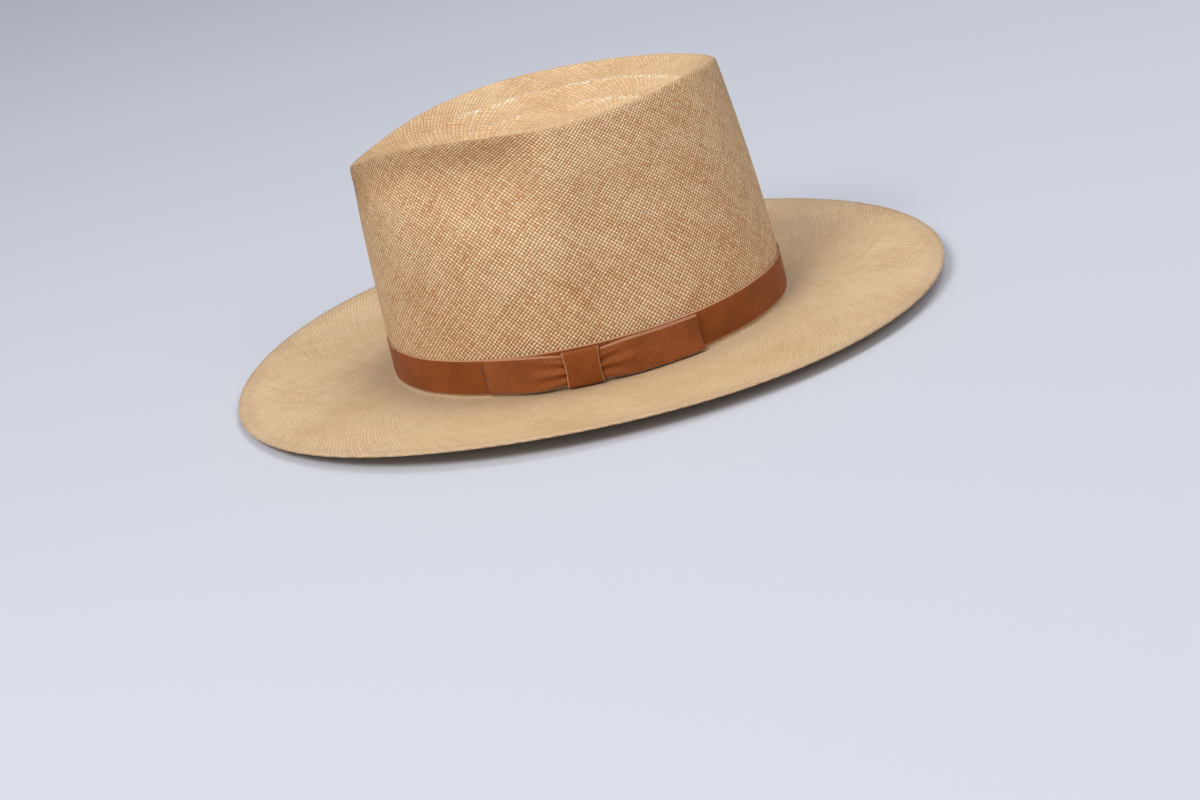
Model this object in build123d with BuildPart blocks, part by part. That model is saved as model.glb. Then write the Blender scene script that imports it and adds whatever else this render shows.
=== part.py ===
from build123d import *
from math import cos, sin, tanh, exp, copysign, hypot, pi, radians
import os

# A teardrop-crown straw fedora.  Millimetres, +Z up, the front of the hat towards -Y and the
# ribbon bow on +X, the wearer's left.  The origin is on the table under the middle of the hat:
# it rests on the ring where the brim breaks from the crown.

# ---------------------------------------------------------------- driving sizes
BREAK_HALF_LENGTH = 105.5    # straw, outside, front to back where the crown meets the brim
BREAK_HALF_WIDTH = 86.2
STRAW = 1.2                  # thickness of the woven straw

BRIM_WIDTH = 80.9            # mean brim width
BRIM_LONGER = 3.05           # how much wider it is at front and back, narrower at the sides
BRIM_SAMPLES = (0.1, 0.3, 0.55, 0.8, 1.0)
BRIM_FLAT = 0.15             # share of the width that lies flat before the brim lifts
EDGE_HEIGHT = 7.33           # mean height of the brim's edge, and its slow waves round the hat
EDGE_WAVES = (0.77, 1.71, 1.10, 0.37)

RIDGE_HALF_WIDTH = 51.5      # the rim round the top of the crown
RIDGE_TIP_WIDTH = 3.5        # rounding of its pinched front tip
RIDGE_HALF_LENGTH = 98.0
RIDGE_FORWARD = 6.0          # how far the rim is drawn towards the front
RIDGE_HEIGHT = 129.8
FRONT_DROP = 11.0            # the rim dips towards the front tip ...
BACK_DROP = 2.5              # ... and a little at the back
LEFT_DROP = 3.5              # ... and on the left, where it was pinched harder
BOWL_DEPTH = 25.0            # teardrop hollow in the crown top
BOWL_HALF_WIDTH = 45.0       # its floor grows rounder than the rim
BOWL_SAMPLES = (0.3, 0.55, 0.74, 0.88)
WALL_LEAN = 1.8              # power of height by which the wall leans in: 1 is a straight cone,
FRONT_LEAN = 3.2             # more keeps the wall upright for longer, most of all at the front
BACK_LEAN = 0.25
PINCH_TALL = 15.0            # height of the upright wall under the rim, round the front,
PINCH_TURN = radians(77)     # where it ends on each side, and how quickly
PINCH_FADE = radians(2.6)
DENT = 10.5                  # finger dents at the two sides of the front pinch
DENT_TURN = radians(68)
DENT_FORWARD = radians(26)   # how far a dent fades out forwards, backwards, up and down
DENT_BACKWARD = radians(8.5)
DENT_HEIGHT = 104.5
DENT_UP = 11.0
DENT_DOWN = 14.0

RIBBON = 0.5                 # grosgrain ribbon
RIBBON_BOTTOM = 3.2
RIBBON_TOP = 21.9
GAP = 0.15                   # clearance between neighbouring layers

BOW_FRONT = radians(50.6)    # where the bow's two loops end, turned from the front
BOW_BACK = radians(111.3)
KNOT_TURN = radians(78.1)
BOW_HEIGHT = 18.4
BOW_WAIST = 14.0             # height of the bow where the knot gathers it
BOW_OFF_BAND = 0.3           # space behind the loops, and how much more under the knot
BOW_LIFT = 1.25
BOW_THIN = 1.25              # depth of the flattened loop at its ends and at the knot
BOW_PUFF = 3.4               # how much deeper it swells between them
BOW_GATHER = 22.0            # reach of the gathers from the middle of the knot
KNOT_WIDTH = 18.5
THREAD = 0.3                 # radius of a sewn stitch

LEATHER = 1.0                # sweatband
SWEATBAND_BOTTOM = 2.8
SWEATBAND_TOP = 38.0
TAPE = 0.35
REED_RADIUS = 0.8
STITCHES = 48                # running stitches that hold the sweatband

RING_POINTS = 40             # points round each ring of the straw

os.makedirs("parts", exist_ok=True)


# ---------------------------------------------------------------- shape of the straw
# "turn" runs round the hat from the front, 0, over the wearer's left, 90 degrees.
def ridge_height(turn):
    forward = max(cos(turn), 0)
    backward = max(-cos(turn), 0)
    leftward = max(sin(turn), 0)
    return RIDGE_HEIGHT - FRONT_DROP * forward**4 - BACK_DROP * backward**6 - LEFT_DROP * leftward**2


def ridge_plan(turn):
    narrowing = 2.4 + 0.6 * cos(turn)
    side = copysign(abs(sin(turn))**narrowing, sin(turn))
    x = RIDGE_HALF_WIDTH * side + RIDGE_TIP_WIDTH * tanh(5 * sin(turn))
    y = -(RIDGE_HALF_LENGTH + RIDGE_FORWARD * cos(turn)) * cos(turn)
    return x, y


def finger_dent(turn, z):
    around = abs((turn + pi) % (2 * pi) - pi) - DENT_TURN
    above = z - DENT_HEIGHT
    around /= DENT_FORWARD if around < 0 else DENT_BACKWARD
    above /= DENT_UP if above > 0 else DENT_DOWN
    return DENT * exp(-around**2 - above**2) * min(1, 4 * abs(sin(turn)))


def wall_point(turn, z, outward=0):
    """A point of the crown's outer wall at height z, moved outward square to the head oval."""
    forward = cos(turn)
    if forward > 0:
        lean = WALL_LEAN + FRONT_LEAN * forward * (1.3 - 0.3 * forward)
    else:
        lean = WALL_LEAN + BACK_LEAN * forward
    around = abs((turn + pi) % (2 * pi) - pi)
    pinched = 1 / (1 + exp((around - PINCH_TURN) / PINCH_FADE))
    full_height = ridge_height(turn) - PINCH_TALL * pinched
    share = min(1, z / full_height)**lean
    ridge_x, ridge_y = ridge_plan(turn)
    x = BREAK_HALF_WIDTH * sin(turn) * (1 - share) + ridge_x * share
    y = -BREAK_HALF_LENGTH * cos(turn) * (1 - share) + ridge_y * share
    x -= finger_dent(turn, z) * copysign(1, sin(turn))
    nx, ny = oval_normal(turn)
    return Vector(x + outward * nx, y + outward * ny, z)


def oval_normal(turn):
    nx = sin(turn) / BREAK_HALF_WIDTH
    ny = -cos(turn) / BREAK_HALF_LENGTH
    return nx / hypot(nx, ny), ny / hypot(nx, ny)


def bowl_point(turn, reach):
    """The crown top: reach is 0 in the middle of the hollow and 1 on the rim."""
    x, y = ridge_plan(turn)
    rounder_x = BOWL_HALF_WIDTH * sin(turn)
    x = rounder_x + (x - rounder_x) * reach**2
    bottom = RIDGE_HEIGHT - BOWL_DEPTH
    return Vector(x * reach, y * reach, bottom + (ridge_height(turn) - bottom) * reach**2.1)


def brim_edge_height(turn):
    waves = [height * cos((i + 1) * turn) for i, height in enumerate(EDGE_WAVES)]
    return EDGE_HEIGHT - sum(waves)


def brim_point(turn, out):
    nx, ny = oval_normal(turn)
    reach = out * (BRIM_WIDTH + BRIM_LONGER * cos(2 * turn))
    lift = max(0, (out - BRIM_FLAT) / (1 - BRIM_FLAT))**1.6
    z = STRAW + (brim_edge_height(turn) - STRAW) * lift
    x = BREAK_HALF_WIDTH * sin(turn) + reach * nx
    return Vector(x, -BREAK_HALF_LENGTH * cos(turn) + reach * ny, z)


def outer_line(turn):
    """One line down the outside, from the middle of the crown top to the edge of the brim."""
    top = ridge_height(turn)
    line = [bowl_point(turn, reach) for reach in (0,) + BOWL_SAMPLES + (1.0,)]
    line += [wall_point(turn, top - below) for below in (5.5, 11, 17, 23, 30)]
    line += [wall_point(turn, top * share) for share in (0.68, 0.55, 0.42, 0.28, 0.16)]
    line += [wall_point(turn, STRAW + above) for above in (7.5, 5, 2.5, 0)]
    line += [brim_point(turn, 2.5 / BRIM_WIDTH)]
    line += [brim_point(turn, out) for out in BRIM_SAMPLES]
    faired = [(line[i - 1] + line[i] * 4 + line[i + 1]) / 6 for i in range(1, len(line) - 1)]
    return [line[0]] + faired + [line[-1]]


def straw_rings():
    """Rings of the outer face, and of the inner face one straw thickness under it."""
    turns = [2 * pi * (i + 0.5) / RING_POINTS for i in range(RING_POINTS)]
    lines = [outer_line(turn) for turn in turns]
    outer, inner = [], []
    for ring in range(1, len(lines[0])):
        below = min(ring + 1, len(lines[0]) - 1)
        outer.append([line[ring] for line in lines])
        inner.append([])
        for i, line in enumerate(lines):
            down = line[below] - line[ring - 1]
            along = lines[(i + 1) % RING_POINTS][ring] - lines[i - 1][ring]
            inner[-1].append(line[ring] + down.cross(along).normalized() * -STRAW)
    return outer, inner


outer_rings, inner_rings = straw_rings()
crown_middle = bowl_point(0, 0)

# The straw is woven in one piece: crown, break and brim.  It goes round as one ruled skin.
with BuildPart() as straw_body:
    shell = [Vertex(crown_middle)]
    for ring in outer_rings + inner_rings[::-1]:
        shell.append(Wire([Edge.make_spline(ring, periodic=True)]))
    shell.append(Vertex(crown_middle - Vector(0, 0, STRAW)))
    add(Solid.make_loft(shell, ruled=True))
straw_body.part.label = "straw_body"


# ---------------------------------------------------------------- layers that follow the crown
def flat(point):
    return point.X, point.Y


def round_layer(inside, outside, bottom, top, levels=3):
    """A closed band round the crown wall, between two distances out from the straw's face."""
    turns = [2 * pi * i / 36 for i in range(36)]
    sections = []
    for i in range(levels):
        z = bottom + (top - bottom) * i / (levels - 1)
        with BuildSketch(Plane.XY.offset(z)) as section:
            for distance, mode in ((outside, Mode.ADD), (inside, Mode.SUBTRACT)):
                with BuildLine():
                    Spline(*[flat(wall_point(turn, z, distance)) for turn in turns], periodic=True)
                make_face(mode=mode)
        sections.append(section.sketch)
    loft(sections, ruled=True)


def strip_layer(start, end, inside, outside, bottom, top):
    """A straight-ended strip lying along the crown wall from one turn to another."""
    turns = [start + (end - start) * i / 6 for i in range(7)]
    sections = []
    for z in (bottom, top):
        near = [flat(wall_point(turn, z, inside)) for turn in turns]
        far = [flat(wall_point(turn, z, outside)) for turn in turns]
        with BuildSketch(Plane.XY.offset(z)) as section:
            with BuildLine():
                Spline(*near)
                Line(near[-1], far[-1])
                Spline(*far[::-1])
                Line(far[0], near[0])
            make_face()
        sections.append(section.sketch)
    loft(sections, ruled=True)


def square_to_wall(turn, z, outward):
    """A plane on the wall: its X runs along the hat, its Y up, its Z outward."""
    nx, ny = oval_normal(turn)
    return Plane(wall_point(turn, z, outward), x_dir=(-ny, nx, 0), z_dir=(nx, ny, 0))


# The hat band: one length of grosgrain ribbon round the foot of the crown.
band_outside = GAP + RIBBON
with BuildPart() as ribbon_band:
    round_layer(GAP, band_outside, RIBBON_BOTTOM, RIBBON_TOP)
ribbon_band.part.label = "ribbon_band"


# ---------------------------------------------------------------- the bow
# A flat ribbon loop lies along the band; the knot gathers it to a waist.
def bow_plan(z, skin):
    """Outline of the bow seen from above, skin inside its outer face."""
    near, far = [], []
    for i in range(13):
        share = i / 12
        turn = BOW_FRONT + (BOW_BACK - BOW_FRONT) * share
        edge = skin / BREAK_HALF_LENGTH * (1 - 2 * share)
        from_knot = abs(turn - KNOT_TURN) / radians(30)
        back = band_outside + BOW_OFF_BAND + BOW_LIFT * max(0, 1 - 1.6 * from_knot)**0.3
        puff = BOW_PUFF * min(1, from_knot)**0.8 * (1 - abs(2 * share - 1)**8)
        near.append(flat(wall_point(turn + edge, z, back + skin)))
        far.append(flat(wall_point(turn + edge, z, back + BOW_THIN + puff - skin)))
    return near, far


bow_middle = (RIBBON_BOTTOM + RIBBON_TOP) / 2 - 0.9
with BuildPart() as bow_ribbon:
    for z in (bow_middle - BOW_HEIGHT / 2, bow_middle + BOW_HEIGHT / 2):
        with BuildSketch(Plane.XY.offset(z)):
            for skin, mode in ((0, Mode.ADD), (RIBBON, Mode.SUBTRACT)):
                near, far = bow_plan(z, skin)
                with BuildLine():
                    Spline(*near)
                    Line(near[-1], far[-1])
                    Spline(*far[::-1])
                    Line(far[0], near[0])
                make_face(mode=mode)
    loft(ruled=True)
    with BuildSketch(square_to_wall(KNOT_TURN, bow_middle, -20)):
        with BuildLine():
            upper = [(-70, BOW_HEIGHT), (-BOW_GATHER, BOW_HEIGHT / 2), (-KNOT_WIDTH / 2, BOW_WAIST / 2)]
            Polyline(*upper, *[(-x, y) for x, y in upper[::-1]],
                     *[(-x, -y) for x, y in upper], *[(x, -y) for x, y in upper[::-1]], close=True)
        make_face()
    extrude(amount=60, mode=Mode.INTERSECT)
bow_ribbon.part.label = "bow_ribbon"


def wrap(half_height, near, far, thick, width):
    """A closed loop of ribbon or thread round the waist of the bow."""
    middle = (near + far) / 2
    depth = far - near
    plane = square_to_wall(KNOT_TURN, bow_middle, band_outside + middle)
    across = Plane(plane.origin - plane.x_dir * width / 2, x_dir=plane.z_dir, z_dir=plane.x_dir)
    with BuildSketch(across) as section:
        RectangleRounded(depth, 2 * half_height, depth / 2 - 0.01)
        RectangleRounded(depth - 2 * thick, 2 * (half_height - thick), depth / 2 - thick - 0.01,
                         mode=Mode.SUBTRACT)
    extrude(section.sketch, amount=width)


# The thread that gathers the bow, and the knot of ribbon that covers it.
with BuildPart() as bow_gather_thread:
    wrap(BOW_WAIST / 2 + 1.3, 0.8, 3.7, 0.25, 1.5)
bow_gather_thread.part.label = "bow_gather_thread"

with BuildPart() as bow_knot:
    wrap(BOW_WAIST / 2 + 2.4, GAP, 4.7, RIBBON, KNOT_WIDTH)
bow_knot.part.label = "bow_knot"


# ---------------------------------------------------------------- stitches
def stitch(turn, z, outward, length, upright=False):
    """One short length of thread lying on the wall."""
    plane = square_to_wall(turn, z, outward)
    direction = plane.y_dir if upright else plane.x_dir
    with BuildSketch(Plane(plane.origin - direction * length / 2, z_dir=direction)) as section:
        Circle(THREAD)
    extrude(section.sketch, amount=length)


# Small tacks over the top edge of the band, away from the bow.
on_band = band_outside + THREAD + 0.05
with BuildPart() as band_tacks:
    for i in range(10):
        stitch(BOW_BACK + radians(16 + 27 * i), RIBBON_TOP - 0.6, on_band, 1.2, True)
band_tacks.part.label = "band_tacks"

# A column of stitches closes the front loop of the bow on to the band.
with BuildPart() as bow_end_stitches:
    for i in range(5):
        stitch(BOW_FRONT - radians(1.2), 5 + 3.2 * i, on_band, 2.0, True)
bow_end_stitches.part.label = "bow_end_stitches"


# ---------------------------------------------------------------- inside the crown
# The tape that joins the sweatband to the straw, the sweatband and the reed in its lower edge.
tape_outside = -STRAW - GAP
tape_inside = tape_outside - TAPE
leather_outside = tape_inside - GAP
leather_inside = leather_outside - LEATHER

with BuildPart() as reed_tape:
    round_layer(tape_inside, tape_outside, 1.0, 8.5, levels=2)
reed_tape.part.label = "reed_tape"

with BuildPart() as sweatband:
    round_layer(leather_inside, leather_outside, SWEATBAND_BOTTOM, SWEATBAND_TOP, levels=4)
sweatband.part.label = "sweatband"

reed_z = SWEATBAND_BOTTOM - REED_RADIUS - 0.2
reed_outward = tape_inside - GAP - REED_RADIUS
with BuildPart() as reed:
    with BuildLine() as reed_path:
        Spline(*[wall_point(2 * pi * i / 36, reed_z, reed_outward) for i in range(36)], periodic=True)
    with BuildSketch(Plane(reed_path.line @ 0, z_dir=reed_path.line % 0)):
        Circle(REED_RADIUS)
    sweep()
reed.part.label = "reed"

stitch_outward = leather_inside - GAP - THREAD
with BuildPart() as sweatband_stitches:
    for i in range(STITCHES):
        stitch(2 * pi * i / STITCHES, SWEATBAND_BOTTOM + 2.2, stitch_outward, 5.0)
sweatband_stitches.part.label = "sweatband_stitches"

# Rear seam of the sweatband: a backing tape, the little bow over it and a blank size tab.
seam = radians(180)
with BuildPart() as sweatband_seam_tape:
    strip_layer(seam - radians(3.5), seam + radians(3.5), tape_inside, tape_outside, 9.5, 36)
sweatband_seam_tape.part.label = "sweatband_seam_tape"

lining_bow_z = 11.0
with BuildPart() as sweatband_bow_loops:
    for side in (-1, 1):
        first, last = sorted((seam + side * radians(1.2), seam + side * radians(6.5)))
        for layer in (0, 1):
            near = leather_inside - 0.2 - 0.95 * layer
            strip_layer(first, last, near - 0.35, near, lining_bow_z - 2, lining_bow_z + 2)
        fold = square_to_wall(seam + side * radians(6.5), lining_bow_z, leather_inside - 0.85)
        with BuildSketch(Plane(fold.origin - fold.y_dir * 2, z_dir=fold.y_dir)):
            Circle(0.65)
        extrude(amount=4)
sweatband_bow_loops.part.label = "sweatband_bow_loops"

with BuildPart() as sweatband_bow_knot:
    strip_layer(seam - radians(0.9), seam + radians(0.9), leather_inside - 1.9, leather_inside - 0.2,
                lining_bow_z - 2.4, lining_bow_z + 2.4)
sweatband_bow_knot.part.label = "sweatband_bow_knot"

with BuildPart() as size_tab:
    strip_layer(seam + radians(12), seam + radians(20), leather_inside - 0.35, leather_inside - GAP, 14, 26)
size_tab.part.label = "size_tab"


# ---------------------------------------------------------------- export
pieces = (straw_body, ribbon_band, bow_ribbon, bow_gather_thread, bow_knot, band_tacks,
          bow_end_stitches, reed_tape, sweatband, reed, sweatband_stitches, sweatband_seam_tape,
          sweatband_bow_loops, sweatband_bow_knot, size_tab)
for piece in pieces:
    export_step(piece.part, f"parts/{piece.part.label}.step")
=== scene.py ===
import random
from math import cos, sin, tanh, copysign, hypot, pi, radians, exp
import bpy
import bmesh
from mathutils import Matrix, Vector


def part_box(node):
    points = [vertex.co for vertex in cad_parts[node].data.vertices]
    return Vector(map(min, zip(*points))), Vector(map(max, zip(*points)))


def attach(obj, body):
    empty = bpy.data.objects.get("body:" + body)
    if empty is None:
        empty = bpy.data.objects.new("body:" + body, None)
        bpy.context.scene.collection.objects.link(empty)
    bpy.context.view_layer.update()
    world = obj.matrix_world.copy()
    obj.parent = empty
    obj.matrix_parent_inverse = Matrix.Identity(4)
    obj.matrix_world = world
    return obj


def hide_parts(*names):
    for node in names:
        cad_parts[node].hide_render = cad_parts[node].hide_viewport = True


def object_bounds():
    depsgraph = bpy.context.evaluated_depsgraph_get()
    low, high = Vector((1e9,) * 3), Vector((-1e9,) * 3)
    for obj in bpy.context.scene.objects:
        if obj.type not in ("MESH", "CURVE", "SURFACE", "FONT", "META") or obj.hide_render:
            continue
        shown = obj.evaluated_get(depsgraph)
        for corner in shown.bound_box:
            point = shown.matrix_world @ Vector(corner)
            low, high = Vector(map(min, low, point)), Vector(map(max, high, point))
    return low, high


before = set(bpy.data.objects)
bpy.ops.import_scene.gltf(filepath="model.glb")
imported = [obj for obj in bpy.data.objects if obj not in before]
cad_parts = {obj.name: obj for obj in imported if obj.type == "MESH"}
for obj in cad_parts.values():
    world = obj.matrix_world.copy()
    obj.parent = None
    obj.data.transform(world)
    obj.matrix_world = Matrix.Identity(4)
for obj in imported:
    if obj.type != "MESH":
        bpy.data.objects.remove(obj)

cad_bounds = [list(map(float, corner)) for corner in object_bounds()]

# ------------------------------------------------------------------ straw body
# Fine palm straw woven from the middle of the crown outwards in one piece, blocked over a
# form to make the teardrop crown and flat brim.  More straws are let in as the rings widen,
# and at the brim's edge the ends are woven back and trimmed.
MM = 0.001  # sizes are in millimetres, and this turns them into the frame's metres
STRAW = 1.2
RIBBON = 0.5
RIBBON_GAP = 0.15

# The ribbon lies on the foot of the crown, so its size gives the oval of the break.
straw_low, straw_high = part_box("straw_body")
band_low, band_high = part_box("ribbon_band")
break_half_width = (band_high[0] - band_low[0]) / 2 / MM - RIBBON - RIBBON_GAP
break_half_length = (band_high[1] - band_low[1]) / 2 / MM - RIBBON - RIBBON_GAP
brim_side = (straw_high[0] - straw_low[0]) / 2 / MM - break_half_width
brim_front = (straw_high[1] - straw_low[1]) / 2 / MM - break_half_length
brim_width = (brim_side + brim_front) / 2
brim_longer = (brim_front - brim_side) / 2

# The rim is drawn a little high, because fairing the cloth over it brings it down.
FAIRED_OFF = 1.9
ridge_top = (straw_high[2] - straw_low[2]) / MM + FAIRED_OFF
RIDGE_HALF_WIDTH = 51.5
RIDGE_TIP_WIDTH = 3.5
RIDGE_HALF_LENGTH = 98.0
RIDGE_FORWARD = 6.0
RIDGE_NARROWING = 2.4
TEARDROP = 0.6
FRONT_DROP = 11.0
BACK_DROP = 2.5
LEFT_DROP = 3.5

# How late the wall leans in on its way up, at the sides and more so at the front and back.
WALL_LEAN = 1.8
FRONT_LEAN = 3.2
BACK_LEAN = 0.25

# The front is pinched below the rim, and two finger dents are pressed in behind the pinch.
PINCH_TALL = 15.0
PINCH_TURN = radians(77)
PINCH_FADE = radians(2.6)
DENT = 10.5
DENT_TURN = radians(68)
DENT_FORWARD = radians(26)
DENT_BACKWARD = radians(8.5)
DENT_HEIGHT = 104.5
DENT_UP = 11.0
DENT_DOWN = 14.0

BOWL_DEPTH = 25.0
BOWL_HALF_WIDTH = 45.0
BRIM_FLAT = 0.15
EDGE_HEIGHT = 7.33
EDGE_WAVES = (0.77, 1.71, 1.10, 0.37)


def from_front(turn):
    """Angle from the front tip, the same on both sides."""
    return abs((turn + pi) % (2 * pi) - pi)


def ridge_height(turn):
    top = ridge_top - FRONT_DROP * max(cos(turn), 0)**4 - BACK_DROP * max(-cos(turn), 0)**6
    return top - LEFT_DROP * max(sin(turn), 0)**2


def ridge_plan(turn):
    narrowing = RIDGE_NARROWING + TEARDROP * cos(turn)
    side = copysign(abs(sin(turn))**narrowing, sin(turn))
    x = RIDGE_HALF_WIDTH * side + RIDGE_TIP_WIDTH * tanh(5 * sin(turn))
    y = -(RIDGE_HALF_LENGTH + RIDGE_FORWARD * cos(turn)) * cos(turn)
    return x, y


def oval_normal(turn):
    nx = sin(turn) / break_half_width
    ny = -cos(turn) / break_half_length
    return nx / hypot(nx, ny), ny / hypot(nx, ny)


def finger_dent(turn, z):
    """How far the two finger dents push the wall in, below the rim on each side of the tip."""
    behind = from_front(turn) - DENT_TURN
    spread = DENT_FORWARD if behind < 0 else DENT_BACKWARD
    above = (z - DENT_HEIGHT) / (DENT_UP if z > DENT_HEIGHT else DENT_DOWN)
    clear_of_tip = min(1, 4 * abs(sin(turn)))
    return DENT * exp(-(behind / spread)**2 - above**2) * clear_of_tip


def wall_point(turn, z, outward=0.0):
    forward = cos(turn)
    lean = WALL_LEAN + BACK_LEAN * forward
    if forward > 0:
        lean = WALL_LEAN + FRONT_LEAN * forward * (1.3 - 0.3 * forward)
    pinched = 1 / (1 + exp((from_front(turn) - PINCH_TURN) / PINCH_FADE))
    full_height = ridge_height(turn) - PINCH_TALL * pinched
    share = min(1.0, max(0.0, z / full_height))**lean
    ridge_x, ridge_y = ridge_plan(turn)
    x = break_half_width * sin(turn) * (1 - share) + ridge_x * share
    y = -break_half_length * cos(turn) * (1 - share) + ridge_y * share
    x -= finger_dent(turn, z) * copysign(1, sin(turn))
    nx, ny = oval_normal(turn)
    return Vector((x + outward * nx, y + outward * ny, z))


def bowl_point(turn, reach):
    """The hollow crown top: reach is 0 in its middle and 1 on the rim."""
    x, y = ridge_plan(turn)
    rounder_x = BOWL_HALF_WIDTH * sin(turn)
    x = rounder_x + (x - rounder_x) * reach**2
    bottom = ridge_top - BOWL_DEPTH
    return Vector((x * reach, y * reach, bottom + (ridge_height(turn) - bottom) * reach**2.1))


def brim_point(turn, out):
    """The brim: out is 0 at the break and 1 at the edge, which rises and falls in slow waves."""
    nx, ny = oval_normal(turn)
    reach = out * (brim_width + brim_longer * cos(2 * turn))
    waves = sum(wave * cos(times * turn) for times, wave in enumerate(EDGE_WAVES, 1))
    lift = max(0.0, (out - BRIM_FLAT) / (1 - BRIM_FLAT))**1.6
    x = break_half_width * sin(turn) + reach * nx
    y = -break_half_length * cos(turn) + reach * ny
    return Vector((x, y, STRAW + (EDGE_HEIGHT - waves - STRAW) * lift))


def outer_line(turn, steps_between=5):
    """One faired line down the outside, from the middle of the crown top to the brim's edge."""
    top = ridge_height(turn)
    line = [bowl_point(turn, reach) for reach in (0.0, 0.3, 0.55, 0.74, 0.88, 1.0)]
    line += [wall_point(turn, top - below) for below in (5.5, 11, 17, 23, 30)]
    line += [wall_point(turn, top * share) for share in (0.68, 0.55, 0.42, 0.28, 0.16)]
    line += [wall_point(turn, STRAW + above) for above in (7.5, 5, 2.5, 0)]
    line += [brim_point(turn, out) for out in (2.5 / brim_width, 0.1, 0.3, 0.55, 0.8, 1.0)]
    line = [line[0] * 2 - line[1]] + line + [line[-1] * 2 - line[-2]]
    faired = []
    for i in range(1, len(line) - 2):
        a, b, c, d = line[i - 1:i + 3]
        for step in range(steps_between):
            t = step / steps_between
            point = a * (1 - t)**3 + b * (3 * t**3 - 6 * t**2 + 4)
            point += c * (-3 * t**3 + 3 * t**2 + 3 * t + 1) + d * t**3
            faired.append(point / 6)
    faired.append(line[-2])
    return faired


# Rings of the mesh run round the hat, counted from the middle of the crown top.
LINES = 288
RIM_RING = 25
BREAK_RING = 98
turns = [2 * pi * (i + 0.5) / LINES for i in range(LINES)]
lines = [outer_line(turn) for turn in turns]
middle = bowl_point(0, 0)
for line in lines:
    line[0] = middle.copy()
rings = len(lines[0])

# Straws round the hat in each zone, from the middle out: (first ring, straws round).
ZONES = [(0, 24), (3, 48), (6, 84), (11, 132), (17, 204), (24, 252), (93, 420)]
OPEN_RINGS = [first for first, count in ZONES[2:5]]


def straws_round(ring):
    return [count for first, count in ZONES if first <= ring][-1]


def ring_steps(ring):
    return [(lines[i][ring] - lines[i - 1][ring]).length for i in range(LINES)]


# Distance down the cloth in units of one weave diamond, so the diamonds stay square.
weave_down = [0.0]
for ring in range(1, rings):
    step = sum((line[ring] - line[ring - 1]).length for line in lines) / LINES
    round_here = (sum(ring_steps(ring)) + sum(ring_steps(ring - 1))) / 2
    weave_down.append(weave_down[-1] + step * straws_round(ring - 1) / round_here)

# Share of the way round at the break, by length, so that straws are even along the sides.
steps = ring_steps(BREAK_RING)
way_round = [sum(steps[:i + 1]) / sum(steps) for i in range(LINES)]
way_round = [share - way_round[0] for share in way_round] + [1.0]


def new_object(name, bm, smooth=True):
    mesh = bpy.data.meshes.new(name)
    bm.to_mesh(mesh)
    bm.free()
    mesh.polygons.foreach_set("use_smooth", [smooth] * len(mesh.polygons))
    obj = bpy.data.objects.new(name, mesh)
    bpy.context.scene.collection.objects.link(obj)
    return obj


# Directions square to the cloth, along which the straw has its thickness.
normals = []
for i, line in enumerate(lines):
    after, before = lines[(i + 1) % LINES], lines[i - 1]
    row = [Vector((0, 0, 1))]
    for ring in range(1, rings):
        down = line[min(ring + 1, rings - 1)] - line[ring - 1]
        row.append(down.cross(after[ring] - before[ring]).normalized())
    normals.append(row)

# The outer and inner faces of the cloth.  One map counts straws and the other counts rings.
bm = bmesh.new()
weave = bm.loops.layers.uv.new("weave")
ring_map = bm.loops.layers.uv.new("rings")
skins = []
for depth in (0.0, STRAW):
    top = bm.verts.new((middle - Vector((0, 0, depth))) * MM)
    grid = []
    for i in range(LINES):
        grid.append([top])
        for ring in range(1, rings):
            grid[-1].append(bm.verts.new((lines[i][ring] - normals[i][ring] * depth) * MM))
    skins.append(grid)
    for i in range(LINES):
        j = (i + 1) % LINES
        for ring in range(rings - 1):
            corners = [(i, ring), (i, ring + 1), (j, ring + 1), (j, ring)]
            shares = [way_round[i], way_round[i], way_round[i + 1], way_round[i + 1]]
            if ring == 0:
                corners, shares = corners[:3], shares[:3]
            if depth:
                corners, shares = corners[::-1], shares[::-1]
            face = bm.faces.new([grid[a][b] for a, b in corners])
            count = straws_round(ring)
            for loop, (a, b), share in zip(face.loops, corners, shares):
                loop[weave].uv = (share * count, weave_down[b])
                loop[ring_map].uv = (share, b)

# The trimmed edge of the brim.
for i in range(LINES):
    j = (i + 1) % LINES
    face = bm.faces.new([skins[0][i][-1], skins[1][i][-1], skins[1][j][-1], skins[0][j][-1]])
    for loop, (u, v) in zip(face.loops, [(0, 0), (0, 0.3), (0.3, 0.3), (0.3, 0)]):
        loop[weave].uv = (way_round[i] * straws_round(rings) + u, weave_down[-1] + v)
        loop[ring_map].uv = (way_round[i], rings - 1)
straw_body = new_object("woven_straw_body", bm)


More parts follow.
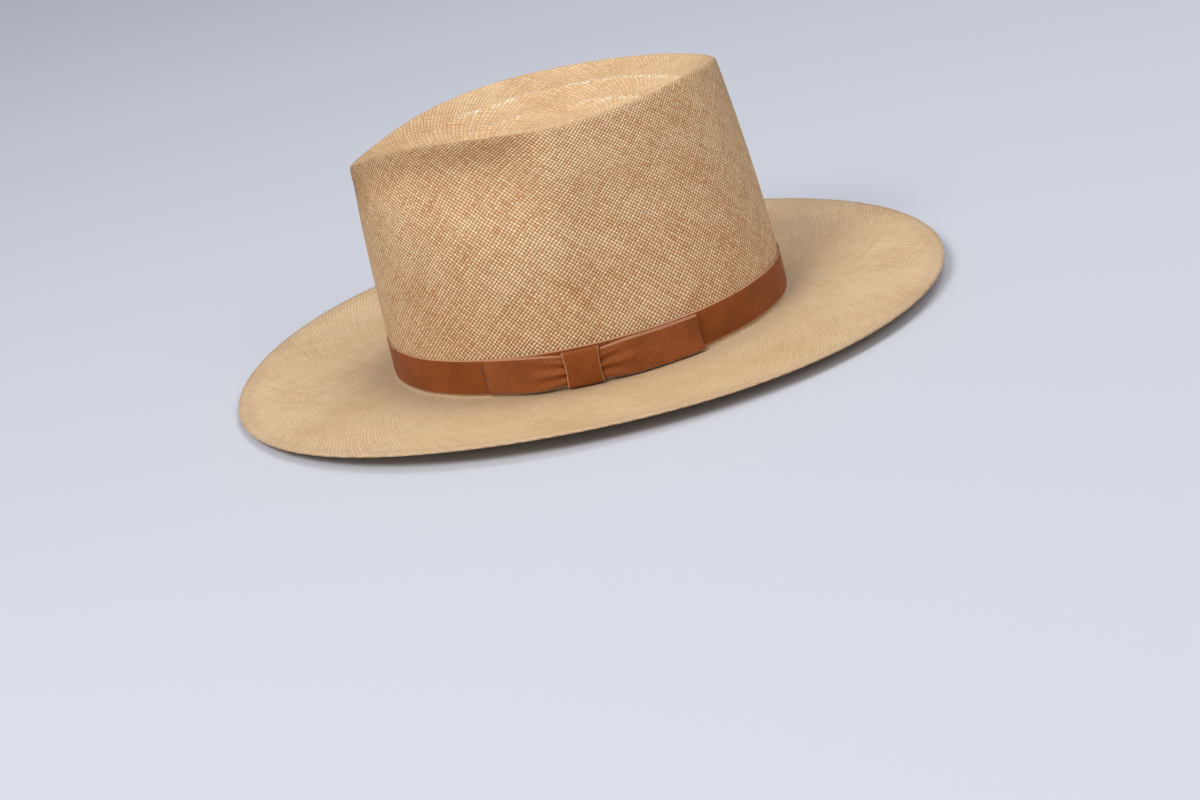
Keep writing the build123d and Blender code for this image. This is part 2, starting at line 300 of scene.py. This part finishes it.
class Strand:
    """A socket that carries a value over the surface; sums on it add shader nodes."""

    def __init__(self, tree, socket):
        self.tree, self.socket = tree, socket

    def node(self, kind, settings=None, inputs=None, output=0):
        made = self.tree.nodes.new(kind)
        for key, value in (settings or {}).items():
            setattr(made, key, value)
        for key, value in (inputs or {}).items():
            if isinstance(value, Strand):
                self.tree.links.new(value.socket, made.inputs[key])
            else:
                made.inputs[key].default_value = value
        return Strand(self.tree, made.outputs[output])

    def maths(self, operation, *values):
        return self.node("ShaderNodeMath", {"operation": operation}, dict(enumerate(values)))

    def __add__(self, other):
        return self.maths("ADD", self, other)

    def __sub__(self, other):
        return self.maths("SUBTRACT", self, other)

    def __rsub__(self, other):
        return self.maths("SUBTRACT", other, self)

    def __mul__(self, other):
        return self.maths("MULTIPLY", self, other)

    def __truediv__(self, other):
        return self.maths("DIVIDE", self, other)

    def __pow__(self, other):
        return self.maths("POWER", self, other)

    def __abs__(self):
        return self.maths("ABSOLUTE", self)

    __radd__ = __add__
    __rmul__ = __mul__

    def floor(self):
        return self.maths("FLOOR", self)

    def fract(self):
        return self.maths("FRACT", self)

    def part(self, output):
        return Strand(self.tree, self.socket.node.outputs[output])

    def across_and_down(self, cloth_map):
        """The two distances that a map of the cloth gives."""
        flat = self.node("ShaderNodeUVMap", {"uv_map": cloth_map})
        split = self.node("ShaderNodeSeparateXYZ", {}, {0: flat})
        return split.part("X"), split.part("Y")

    def noise(self, scale, detail=2.0):
        inputs = {"Vector": self, "Scale": scale, "Detail": detail}
        return self.node("ShaderNodeTexNoise", {}, inputs)

    def between(self, low, high):
        """0 at low, 1 at high, smooth between."""
        settings = {"interpolation_type": "SMOOTHSTEP"}
        return self.node("ShaderNodeMapRange", settings, {0: self, 1: low, 2: high})

    def colours(self, first, second):
        """first where this is 0, second where it is 1."""
        inputs = {0: self, 6: first, 7: second}
        return self.node("ShaderNodeMix", {"data_type": "RGBA"}, inputs, 2)

    def darkened(self, shade):
        """This colour times shade, a value from 0 to 1."""
        grey = self.node("ShaderNodeCombineColor", {}, {0: shade, 1: shade, 2: shade})
        settings = {"data_type": "RGBA", "blend_type": "MULTIPLY"}
        return self.node("ShaderNodeMix", settings, {0: 1.0, 6: self, 7: grey}, 2)


def new_material(name):
    """A material, its shader, and each point's place in the hat as a Strand."""
    material = bpy.data.materials.new(name)
    material.use_nodes = True
    tree = material.node_tree
    place = Strand(tree, None).node("ShaderNodeTexCoord", output="Object")
    return material, tree.nodes["Principled BSDF"], place


def paint(shader, colour, roughness, height, depth):
    """Join colour, roughness and relief (height 0 to 1, depth in metres) to the shader."""
    colour.tree.links.new(colour.socket, shader.inputs["Base Color"])
    if isinstance(roughness, Strand):
        colour.tree.links.new(roughness.socket, shader.inputs["Roughness"])
    else:
        shader.inputs["Roughness"].default_value = roughness
    bump = colour.node("ShaderNodeBump", {}, {"Strength": 1.0, "Distance": depth, "Height": height})
    colour.tree.links.new(bump.socket, shader.inputs["Normal"])


STRAW_HONEY = (0.66, 0.315, 0.118, 1)
STRAW_CREAM = (1.0, 0.670, 0.365, 1)
STRAW_FLECK = (0.36, 0.170, 0.065, 1)
STRAW_SPARKLE = (1.0, 0.900, 0.680, 1)
BRIM_HONEY = (0.66, 0.410, 0.190, 1)
BRIM_CREAM = (0.84, 0.600, 0.340, 1)
BREAK_MAUVE = (0.50, 0.350, 0.230, 1)
STRAW_RELIEF = 0.0009


def straw_tone(number, along, start):
    """Each straw keeps its own tone and changes slowly along its length."""
    point = along.node("ShaderNodeCombineXYZ", {}, {0: number * 7.31 + start, 1: along * 0.055})
    return point.noise(1.0)


def straw_material():
    material, shader, place = new_material("palm_straw")
    across, down = place.across_and_down("weave")
    ring = place.across_and_down("rings")[1]
    spot = place.node("ShaderNodeSeparateXYZ", {}, {0: place})
    x, y = spot.part("X"), spot.part("Y")
    oval = ((x / (break_half_width * MM))**2 + (y / (break_half_length * MM))**2)**0.5
    brim = ring.between(BREAK_RING - 7.0, BREAK_RING - 5.0)
    crown_top = 1 - ring.between(RIM_RING - 1.0, RIM_RING + 2.0)
    smooth = brim + crown_top * 0.7
    slow = place.noise(24.0, 3.0)
    fine = place.noise(300.0)

    # Two sets of straws cross each other aslant, each straw arched and lying over, then under.
    sway = (place.noise(38.0) - 0.5) * 1.6
    first = across + down + sway
    second = across - down + sway
    first_straw, second_straw = first.floor(), second.floor()
    a = first.fract() * 2 - 1
    b = second.fract() * 2 - 1
    arch_a = 1 - a * a
    arch_b = 1 - b * b
    over = ((first_straw + second_straw) * 0.5).fract() * 2
    lying_a = arch_a**0.6 * (arch_b * 0.6 + 0.4)
    lying_b = arch_b**0.6 * (arch_a * 0.6 + 0.4)
    relief = lying_b + (lying_a - lying_b) * over

    # The straws of the crown differ in tone, and a few are flecked with brown.
    tone_a = straw_tone(first_straw, second, 0.0)
    tone_b = straw_tone(second_straw, first, 911.0)
    tone = tone_b + (tone_a - tone_b) * over
    number = first_straw * 37.0 + second_straw * 11.3
    cell = place.node("ShaderNodeTexWhiteNoise", {"noise_dimensions": "1D"}, {"W": number})
    light = (tone - 0.5) * 1.3 + (cell - 0.5) * 0.30 + (slow - 0.5) * 0.6 + 0.58
    colour = light.between(0.0, 1.0).colours(STRAW_HONEY, STRAW_CREAM)
    fleck = cell.between(0.93, 0.99) * slow.between(0.42, 0.6) * (1 - brim)
    colour = (fleck * 0.4).colours(colour, STRAW_FLECK)

    # The brim and the crown top are finer and paler, and the brim is painted darker by the break as
    # shade.
    brim_tone = (tone - 0.5) * 1.2 + (slow - 0.5) * 0.9 + (fine - 0.5) * 0.35 + 0.6
    brim_colour = brim_tone.between(0.0, 1.0).colours(BRIM_HONEY, BRIM_CREAM)
    colour = (smooth * 0.85).colours(colour, brim_colour)
    break_shade = brim * (1 - oval.between(1.03, 1.25)) * (slow * 0.9 + fine * 0.5)
    colour = (break_shade * 0.5).colours(colour, BREAK_MAUVE)

    # Faint rings run round the brim where each row of weaving was pulled tight.
    row = (ring * 1.3 + slow * 2.0).fract() * 2 - 1
    faint_row = brim * (1 - oval.between(1.1, 1.7) * 0.7) * (row * row) * slow.between(0.35, 0.6)
    colour = (faint_row * 0.22).colours(colour, BREAK_MAUVE)

    # Where straws are let in, the rings of the crown top are open and catch the light.
    let_in = 0
    for open_ring in OPEN_RINGS:
        near = ring - open_ring + (slow - 0.5) * 3.0
        let_in = let_in + near.between(-0.8, 0.0) * (1 - near.between(0.0, 0.8))
    sparkle = let_in * crown_top * cell.between(0.35, 0.6) * slow.between(0.40, 0.55)
    colour = (sparkle * 0.65).colours(colour, STRAW_SPARKLE)
    border = ring.between(rings - 4.0, rings - 2.5)
    colour = (border * 0.25).colours(colour, BREAK_MAUVE)

    # The gaps between straws are painted darker as shade, but hardly so where the weave is fine, and
    # the brim is darkened a little all over.
    gap_shade_floor = smooth * 0.48 + 0.38
    raised = relief.between(0.0, 0.8)
    colour = colour.darkened(raised * (1 - gap_shade_floor) + gap_shade_floor - brim * 0.10)
    paint(shader, colour, 0.6 - sparkle * 0.25, relief * (1 - smooth * 0.6), STRAW_RELIEF)
    shader.inputs["Specular IOR Level"].default_value = 0.35
    return material


straw_body.data.materials.append(straw_material())
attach(straw_body, "root")
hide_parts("straw_body")

# ------------------------------------------------------------------ frayed straw ends
# Where the ends are woven back at the brim's edge, a few hair-fine straws stand proud.  They
# are the trimmed tips of the same palm straw, splayed to either side and slightly curled.
FRAYED_STRAWS = 420
ROOTED = 0.5
random.seed(7)
bm = bmesh.new()


def thin_straw(bm, start, direction, length, radius):
    """A tapering straw with a slight curl."""
    side = direction.cross(Vector((0, 0, 1))).normalized()
    up = side.cross(direction).normalized()
    curl = random.uniform(-0.5, 0.5)
    previous = None
    for step in range(4):
        t = step / 3
        centre = start + direction * length * t + (up * 0.3 + side * curl) * length * t * t * 0.5
        width = radius * (1 - 0.7 * t)
        ring = []
        for k in range(4):
            across = (side * cos(k * pi / 2) + up * sin(k * pi / 2)) * width
            ring.append(bm.verts.new((centre + across) * MM))
        if previous:
            for k in range(4):
                bm.faces.new([previous[k], previous[(k + 1) % 4], ring[(k + 1) % 4], ring[k]])
        else:
            bm.faces.new(ring[::-1])
        previous = ring
    bm.faces.new(previous)


for i in range(FRAYED_STRAWS):
    turn = random.uniform(0, 2 * pi)
    nx, ny = oval_normal(turn)
    root = Vector((nx * ROOTED, ny * ROOTED, STRAW * random.uniform(0.2, 0.8)))
    start = brim_point(turn, 1.0) - root
    swing = random.uniform(-1.1, 1.1)
    direction = Vector((nx * cos(swing) - ny * sin(swing), ny * cos(swing) + nx * sin(swing),
                        random.uniform(-0.35, 0.25))).normalized()
    thin_straw(bm, start, direction, random.choice((1.0, 1.4, 1.8, 2.6)), random.uniform(0.08, 0.16))
frayed_ends = new_object("frayed_straw_ends", bm)


def fray_material():
    material, shader, place = new_material("straw_ends")
    noise = place.noise(300.0)
    paint(shader, noise.colours((0.35, 0.20, 0.09, 1), (0.85, 0.62, 0.38, 1)), 0.6, noise, 0.0001)
    return material


frayed_ends.data.materials.append(fray_material())
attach(frayed_ends, "root")

# ------------------------------------------------------------------ ribbon band
# One length of rust-brown grosgrain, ribbed across, with pale picot edges.  It is steamed
# round the foot of the crown and tacked through the straw.
ribbon_bottom = band_low[2] / MM
ribbon_top = band_high[2] / MM
RIB_PITCH = 0.95
YARN_PITCH = 0.32
PICOT = 0.09
PICOT_THINNER = 0.35


def ribbon_strip(name, frames, half_height, thick, rows=14):
    """A closed strip of ribbon with real thickness and small scalloped edges.

    frames is a list of (centre, outward, up, height factor, distance along); the ribbon stands
    along up and faces outward."""
    bm = bmesh.new()
    uv = bm.loops.layers.uv.new("cloth")
    grids = []
    for face_side in (0.5, -0.5):
        grid = []
        for centre, outward, up, tall, along in frames:
            column = []
            for row in range(rows + 1):
                v = row / rows * 2 - 1
                at_edge = row in (0, rows)
                picot = PICOT * cos(2 * pi * along / RIB_PITCH) if at_edge else 0.0
                thin = PICOT_THINNER if at_edge else 1.0
                rise = v * (half_height * tall + picot)
                point = centre + up * rise + outward * thick * face_side * thin
                column.append((bm.verts.new(point * MM), (along, v * half_height)))
            grid.append(column)
        grids.append(grid)

    def quad(corners):
        face = bm.faces.new([vert for vert, place in corners])
        for loop, (vert, place) in zip(face.loops, corners):
            loop[uv].uv = place

    front, back = grids
    for i in range(len(frames)):
        j = (i + 1) % len(frames)
        for row in range(rows):
            quad([front[i][row], front[j][row], front[j][row + 1], front[i][row + 1]])
            quad([back[j][row], back[i][row], back[i][row + 1], back[j][row + 1]])
        quad([back[i][0], back[j][0], front[j][0], front[i][0]])
        quad([front[i][rows], front[j][rows], back[j][rows], back[i][rows]])
    return new_object(name, bm)


def wall_frame(turn, z, outward):
    """Centre, outward direction and upward direction of the wall."""
    nx, ny = oval_normal(turn)
    up = (wall_point(turn, z + 3, outward) - wall_point(turn, z - 3, outward)).normalized()
    return wall_point(turn, z, outward), Vector((nx, ny, 0)), up


def frames_along(places, height_at):
    """Strip frames through (share, (turn, z, outward)) places, with distance along added."""
    frames = []
    along = 0.0
    last = None
    for share, (turn, z, outward) in places:
        centre, out, up = wall_frame(turn, z, outward)
        if last is not None:
            along += (centre - last).length
        last = centre
        frames.append((centre, out, up, height_at(share), along))
    return frames


# The ends meet under the bow.  The stretched ribbon still ripples by a tenth of a millimetre.
BAND_STEPS = 1280
BAND_JOIN = radians(78)
BAND_RIPPLE = 0.1
BAND_WANDER = 0.12
band_middle = (ribbon_bottom + ribbon_top) / 2
band_half = (ribbon_top - ribbon_bottom) / 2
band_places = []
for i in range(BAND_STEPS):
    turn = BAND_JOIN + 2 * pi * i / BAND_STEPS
    level = band_middle + BAND_WANDER * sin(5 * turn + 2)
    stand_off = RIBBON_GAP + RIBBON / 2 + BAND_RIPPLE * (sin(7 * turn + 1) + sin(17 * turn))
    band_places.append((i / BAND_STEPS, (turn, level, stand_off)))
band_frames = frames_along(band_places, lambda share: 1.0)
ribbon_band = ribbon_strip("grosgrain_band", band_frames, band_half, RIBBON)
band_length = 2 * pi * ((break_half_width**2 + break_half_length**2) / 2)**0.5 * MM

RIBBON_EDGE = (0.66, 0.34, 0.19, 1)


def ribbon_material(name, rib_depth, dark, light):
    material, shader, place = new_material(name)
    along, rise = place.across_and_down("cloth")
    rib = (along / RIB_PITCH).fract() * 2 - 1
    rib = (1 - rib * rib)**0.7
    yarn = abs((rise / YARN_PITCH).fract() - 0.5) * 2
    slow = place.noise(70.0, 3.0)
    fuzz = place.noise(900.0)
    # The tone is the ribbon's own uneven colour, with painted shade between the ribs, whose crests
    # are lighter.
    tone = slow * 0.6 + fuzz * 0.35 + rib * 0.25 - 0.1
    colour = tone.between(0.1, 0.95).colours(dark, light)
    picot_edge = abs(rise).between(8.55, 8.95)
    colour = (picot_edge * 0.7).colours(colour, RIBBON_EDGE)
    paint(shader, colour, 0.72, rib * 0.8 + yarn * 0.1 + fuzz * 0.15, rib_depth)
    shader.inputs["Sheen Weight"].default_value = 0.2
    shader.inputs["Sheen Roughness"].default_value = 0.35
    shader.inputs["Sheen Tint"].default_value = (0.9, 0.55, 0.4, 1)
    shader.inputs["Specular IOR Level"].default_value = 0.25
    return material


band_ribbon = ribbon_material(
    "grosgrain_smooth", 0.00012, dark=(0.15, 0.032, 0.003, 1), light=(0.33, 0.085, 0.012, 1))
bow_ribbon_finish = ribbon_material(
    "grosgrain_ribbed", 0.0004, dark=(0.17, 0.038, 0.006, 1), light=(0.42, 0.118, 0.025, 1))
ribbon_band.data.materials.append(band_ribbon)
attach(ribbon_band, "root")
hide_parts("ribbon_band")

# ------------------------------------------------------------------ bow
# A flat loop of the same ribbon, folded at both ends and gathered at its waist by a thread
# under the knot.  Its front end is stitched down, and its rear end curls free.
BOW_FRONT, BOW_BACK, KNOT_TURN = radians(50.6), radians(111.3), radians(78.1)
BOW_STEPS = 90
FOLD_STEPS = 7
FOLD_REACH = radians(0.35)

# The loop clears the band, rises over the gathering thread, and puffs out between the knot
# and its ends, of which the rear one rolls outwards.
CLEAR_OF_BAND = 0.22
SLACK_OF_ENDS = 0.4
OVER_THREAD = 1.05
STITCHED_APART = 0.35
ENDS_APART = 0.7
PUFF = 1.6
REAR_ROLL = 0.5
WAIST = 0.72
DROOP = 0.9
bow_low, bow_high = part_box("bow_ribbon")
bow_middle = (bow_low[2] + bow_high[2]) / 2 / MM
bow_half = (bow_high[2] - bow_low[2]) / 2 / MM
band_outside = RIBBON_GAP + RIBBON


def bow_depth(share, outer):
    """Turn, and distance out from the wall, of the loop's outer or inner ribbon."""
    turn = BOW_FRONT + (BOW_BACK - BOW_FRONT) * share
    from_knot = abs(turn - KNOT_TURN) / radians(30)
    ends = min(1.0, share / 0.3)
    over_thread = OVER_THREAD * max(0.0, 1 - 1.6 * from_knot)**0.6
    back = band_outside + CLEAR_OF_BAND + SLACK_OF_ENDS * ends + over_thread
    puff = PUFF * min(1, from_knot)**0.8 * (1 - abs(2 * share - 1)**4) * ends
    rolled_end = REAR_ROLL * max(0.0, (share - 0.93) / 0.07)**2
    return turn, back + (STITCHED_APART + ENDS_APART * ends + puff + rolled_end if outer else 0.0)


def bow_height(share):
    """The ribbon is drawn in at the knot; 1 is its full height."""
    turn = BOW_FRONT + (BOW_BACK - BOW_FRONT) * share
    from_knot = min(1.0, abs(turn - KNOT_TURN) / radians(15))
    return WAIST + (1 - WAIST) * sin(pi / 2 * from_knot)**1.6


def bow_level(share):
    """The bow starts level with the band and droops a little towards its rear end."""
    return bow_middle + DROOP * max(0.0, 1 - 2.2 * share)


def bow_run(shares, outer):
    run = []
    for share in shares:
        turn, outward = bow_depth(share, outer)
        run.append((share, (turn, bow_level(share), outward)))
    return run


def bow_fold(share, rearward):
    """The half turn of ribbon that closes the loop; rearward is 1 at the rear end, else -1."""
    turn, outer = bow_depth(share, True)
    inner = bow_depth(share, False)[1]
    fold = []
    for i in range(1, FOLD_STEPS):
        angle = pi * i / FOLD_STEPS
        outward = (outer + inner) / 2 + rearward * (outer - inner) / 2 * cos(angle)
        fold.append((share, (turn + rearward * FOLD_REACH * sin(angle), bow_level(share), outward)))
    return fold


bow_places = bow_run([i / BOW_STEPS for i in range(BOW_STEPS + 1)], True) + bow_fold(1, 1)
bow_places += bow_run([1 - i / BOW_STEPS for i in range(BOW_STEPS + 1)], False) + bow_fold(0, -1)
bow_frames = frames_along(bow_places, bow_height)
bow = ribbon_strip("bow_loops", bow_frames, bow_half, RIBBON * 0.8, rows=18)

GATHER_DEEP = 1.7
GATHER_DRAWN_IN = 0.9
GATHER_REACH = radians(19)
GATHER_LOW = 0.8
UNDER_KNOT = radians(4)
FRONT_STITCHES = radians(2.5)
STITCH_PITCH = 2.7
STITCH_PULL = 0.45
REAR_CURL = radians(5)
REAR_CORNER = 1.7
WALL_RADIUS = 97
for vert in bow.data.vertices:
    p = vert.co / MM
    nx, ny = oval_normal(KNOT_TURN)
    from_knot = (p - wall_point(KNOT_TURN, p.z, 2)).dot(Vector((-ny, nx, 0))) / WALL_RADIUS
    turn = KNOT_TURN + from_knot
    nx, ny = oval_normal(turn)
    outward, rearward = Vector((nx, ny, 0)), Vector((-ny, nx, 0))
    # Gathers fan out from the middle of the knot and fade along the loops.
    fade = max(0.0, 1 - abs(from_knot) / GATHER_REACH)**1.2
    fan = 1.5 + 3.4 * abs(from_knot) / GATHER_REACH
    level = p.z - bow_middle + GATHER_LOW
    fold = GATHER_DEEP * cos(pi * level / fan) * exp(-(level / (2.6 * fan))**2) - GATHER_DRAWN_IN
    vert.co += outward * fold * fade * min(1.0, abs(from_knot) / UNDER_KNOT) * MM
    # The rear end curls, its lower corner standing out; the front end is caught by stitches.
    low = (bow_middle - p.z) / bow_half
    rear = min(1.0, max(0.0, (turn - BOW_BACK + REAR_CURL) / REAR_CURL))
    curl = rearward * REAR_CORNER * max(0.0, low)**1.6 + outward * (0.1 + 0.4 * abs(low))
    vert.co += curl * rear * MM
    front = min(1.0, max(0.0, (BOW_FRONT + FRONT_STITCHES - turn) / FRONT_STITCHES))
    vert.co += rearward * STITCH_PULL * front * sin(2 * pi * p.z / STITCH_PITCH) * MM
bow.data.materials.append(bow_ribbon_finish)
bow_length = bow_frames[-1][4] * MM
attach(bow, "root")
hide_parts("bow_ribbon")

# ------------------------------------------------------------------ knot
# A short length of the band's ribbon wrapped upright round the bow's waist, with its ends
# sewn together behind.
KNOT_HALF_WIDTH = 9.2
KNOT_THICK = 3.4
KNOT_STEPS = 64
KNOT_ROUNDING = 0.0034
UP = Vector((0, 0, 1))
knot_low, knot_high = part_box("bow_knot")
knot_half = (knot_high[2] - knot_low[2]) / 2 / MM
knot_middle = (knot_high[2] + knot_low[2]) / 2 / MM
nx, ny = oval_normal(KNOT_TURN)
knot_out = Vector((nx, ny, 0))
knot_along = Vector((-ny, nx, 0))
knot_near = band_outside + RIBBON_GAP + RIBBON / 2
knot_centre = wall_point(KNOT_TURN, knot_middle, knot_near + KNOT_THICK / 2)
knot_frames = []
along = 0.0
last = None
for i in range(KNOT_STEPS):
    angle = pi + 2 * pi * i / KNOT_STEPS
    out = copysign(abs(cos(angle))**0.35, cos(angle)) * KNOT_THICK / 2
    rise = copysign(abs(sin(angle))**0.8, sin(angle)) * (knot_half - 0.3)
    centre = knot_centre + knot_out * out + UP * rise
    outward = (knot_out * cos(angle) + UP * sin(angle) * 0.8).normalized()
    if last is not None:
        along += (centre - last).length
    last = centre
    waist = 1 - 0.05 * cos(angle) * (1 - sin(angle)**2)
    knot_frames.append((centre, outward, knot_along * -1, waist, along))
knot = ribbon_strip("bow_knot_wrap", knot_frames, KNOT_HALF_WIDTH, RIBBON, rows=18)
for vert in knot.data.vertices:
    side = (vert.co / MM - knot_centre).dot(knot_along)
    vert.co -= knot_out * KNOT_ROUNDING * side * side * MM
knot.data.materials.append(band_ribbon)
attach(knot, "root")
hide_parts("bow_knot")


# ------------------------------------------------------------------ sewing on the ribbon
# Gathering thread, tacks along the band and the column of stitches at the bow's front end,
# all in thread dyed to match.
def thread_material(name, dark, light):
    material, shader, place = new_material(name)
    wave = place.noise(1400.0)
    paint(shader, wave.colours(dark, light), 0.7, wave, 0.0001)
    shader.inputs["Sheen Weight"].default_value = 0.3
    return material


def finish_node(node, material):
    mesh_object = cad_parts[node]
    for slot in mesh_object.material_slots:
        slot.material = material
    if not mesh_object.material_slots:
        mesh_object.data.materials.append(material)


brown_thread = thread_material("rust_thread", (0.12, 0.03, 0.01, 1), (0.30, 0.09, 0.03, 1))
for node in ("bow_gather_thread", "band_tacks", "bow_end_stitches"):
    finish_node(node, brown_thread)

# ------------------------------------------------------------------ sweatband
# A strip of thin tan leather inside the crown, its lower edge rolled over a plastic reed and
# sewn to the straw through a tape.
LEATHER = 1.0
LEATHER_RIPPLE = 0.12
LEATHER_STEPS = 240
leather_low, leather_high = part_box("sweatband")
leather_bottom, leather_top = leather_low[2] / MM, leather_high[2] / MM
leather_tall = leather_top - leather_bottom
leather_inside = leather_high[0] / MM - break_half_width - LEATHER


def leather_profile():
    """(outward, z) round the section of the leather, inner face then outer face."""
    inner = leather_inside
    points = [(inner + 0.1, leather_top - 0.5), (inner, leather_top - 1.5)]
    points += [(inner, leather_top - leather_tall * i / 9) for i in range(1, 9)]
    points += [(inner - 0.1, leather_bottom + 1.4), (inner + 0.1, leather_bottom + 0.3)]
    points += [(inner + 0.5, leather_bottom), (inner + 0.9, leather_bottom + 0.3)]
    points += [(inner + LEATHER, leather_bottom + leather_tall * i / 5) for i in range(1, 5)]
    points += [(inner + LEATHER, leather_top - 0.4), (inner + 0.5, leather_top)]
    return points


def leather_ripple(turn, outward, z):
    """The inner face is not quite even above its sewn edge."""
    if outward > leather_inside + 0.3 or z < leather_bottom + 3:
        return 0.0
    return LEATHER_RIPPLE * sin(9 * turn) * sin(4 * turn + 1)


profile = leather_profile()
bm = bmesh.new()
uv = bm.loops.layers.uv.new("hide")
grid = []
for i in range(LEATHER_STEPS):
    turn = 2 * pi * i / LEATHER_STEPS
    section = [wall_point(turn, z, out + leather_ripple(turn, out, z)) for out, z in profile]
    grid.append([bm.verts.new(point * MM) for point in section])
for i in range(LEATHER_STEPS):
    j = (i + 1) % LEATHER_STEPS
    for k in range(len(profile)):
        m = (k + 1) % len(profile)
        face = bm.faces.new([grid[i][k], grid[i][m], grid[j][m], grid[j][k]])
        for loop, (a, b) in zip(face.loops, ((i, k), (i, k + 1), (i + 1, k + 1), (i + 1, k))):
            loop[uv].uv = (a * 2.5, b * 2.0)
bmesh.ops.recalc_face_normals(bm, faces=bm.faces)
sweatband = new_object("leather_sweatband", bm)


def leather_material():
    material, shader, place = new_material("tan_leather")
    grain = place.node("ShaderNodeTexVoronoi", {"feature": "DISTANCE_TO_EDGE"},
                       {"Vector": place, "Scale": 700.0})
    crease = place.noise(180.0, 4.0)
    tone = place.noise(30.0, 4.0) * 0.7 + crease * 0.3
    colour = tone.between(0.3, 0.75).colours((0.17, 0.072, 0.028, 1), (0.30, 0.145, 0.062, 1))
    relief = grain.between(0.0, 0.12) * 0.5 + crease * 0.5
    paint(shader, colour, crease * 0.2 + 0.42, relief, 0.00012)
    return material


sweatband.data.materials.append(leather_material())
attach(sweatband, "root")
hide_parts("sweatband")

# ------------------------------------------------------------------ sweatband fittings
# Reed, tapes and running stitches join the leather to the straw.  A small bow of tape covers
# the rear seam, and a blank size tab is tucked behind the leather.
cream_thread = thread_material("cream_thread", (0.55, 0.42, 0.27, 1), (0.80, 0.68, 0.50, 1))
tape_finish = thread_material("brown_tape", (0.07, 0.03, 0.015, 1), (0.14, 0.07, 0.035, 1))
reed_finish = thread_material("cream_reed", (0.60, 0.56, 0.48, 1), (0.72, 0.68, 0.60, 1))
tab_finish = thread_material("white_tab", (0.66, 0.62, 0.55, 1), (0.80, 0.77, 0.70, 1))
finish_node("sweatband_stitches", cream_thread)
for node in ("reed_tape", "sweatband_seam_tape", "sweatband_bow_loops", "sweatband_bow_knot"):
    finish_node(node, tape_finish)
finish_node("reed", reed_finish)
finish_node("size_tab", tab_finish)

# ------------------------------------------------------------------ floor, light and camera
# A plain pale floor and a long lens from the bow side.  A soft key light stands at the front
# left of the hat, a second hangs behind the crown, and a weak one fills the rear left.
floor_mesh = bmesh.new()
bmesh.ops.create_grid(floor_mesh, x_segments=1, y_segments=1, size=30)
floor_sheet = new_object("floor", floor_mesh, smooth=False)
floor_sheet.location.z = cad_bounds[0][2] - 0.0005
floor_paint = bpy.data.materials.new("pale_floor")
floor_paint.use_nodes = True
floor_shader = floor_paint.node_tree.nodes["Principled BSDF"]
floor_shader.inputs["Base Color"].default_value = (0.57, 0.575, 0.61, 1)
floor_shader.inputs["Roughness"].default_value = 0.9
floor_sheet.data.materials.append(floor_paint)

CAMERA_SIDE = Vector((0.2224, 0.9546, -0.1984)).normalized()
CAMERA_BACK = Vector((0.9249, -0.1422, 0.3528)).normalized()
CAMERA_UP = CAMERA_BACK.cross(CAMERA_SIDE)
CAMERA_TARGET = Vector((0.0136, -0.0061, -0.0354))
CAMERA_AWAY = 1.3168
camera_data = bpy.data.cameras.new("camera")
camera_data.lens = 75
camera_data.sensor_width = 36
camera = bpy.data.objects.new("camera", camera_data)
camera_place = Matrix((CAMERA_SIDE, CAMERA_UP, CAMERA_BACK)).transposed().to_4x4()
camera_place.translation = CAMERA_TARGET + CAMERA_BACK * CAMERA_AWAY
camera.matrix_world = camera_place
bpy.context.scene.collection.objects.link(camera)
bpy.context.scene.camera = camera


def soft_light(name, position, size, watts):
    data = bpy.data.lights.new(name, "AREA")
    data.shape = "DISK"
    data.size = size
    data.energy = watts
    lamp = bpy.data.objects.new(name, data)
    lamp.location = position
    lamp.rotation_euler = (Vector((0, 0, 0.05)) - lamp.location).to_track_quat("-Z", "Y").to_euler()
    bpy.context.scene.collection.objects.link(lamp)


soft_light("key", Vector((1.1, -1.3, 1.9)), 1.2, 39)
soft_light("top", Vector((-0.2, 0.8, 2.0)), 1.1, 12)
soft_light("fill", Vector((1.7, 1.1, 1.9)), 1.4, 12)
bpy.context.scene.view_settings.view_transform = "Standard"
world = bpy.data.worlds.new("studio")
world.use_nodes = True
world.node_tree.nodes["Background"].inputs["Color"].default_value = (0.80, 0.86, 1.0, 1)
world.node_tree.nodes["Background"].inputs["Strength"].default_value = 0.48
bpy.context.scene.world = world
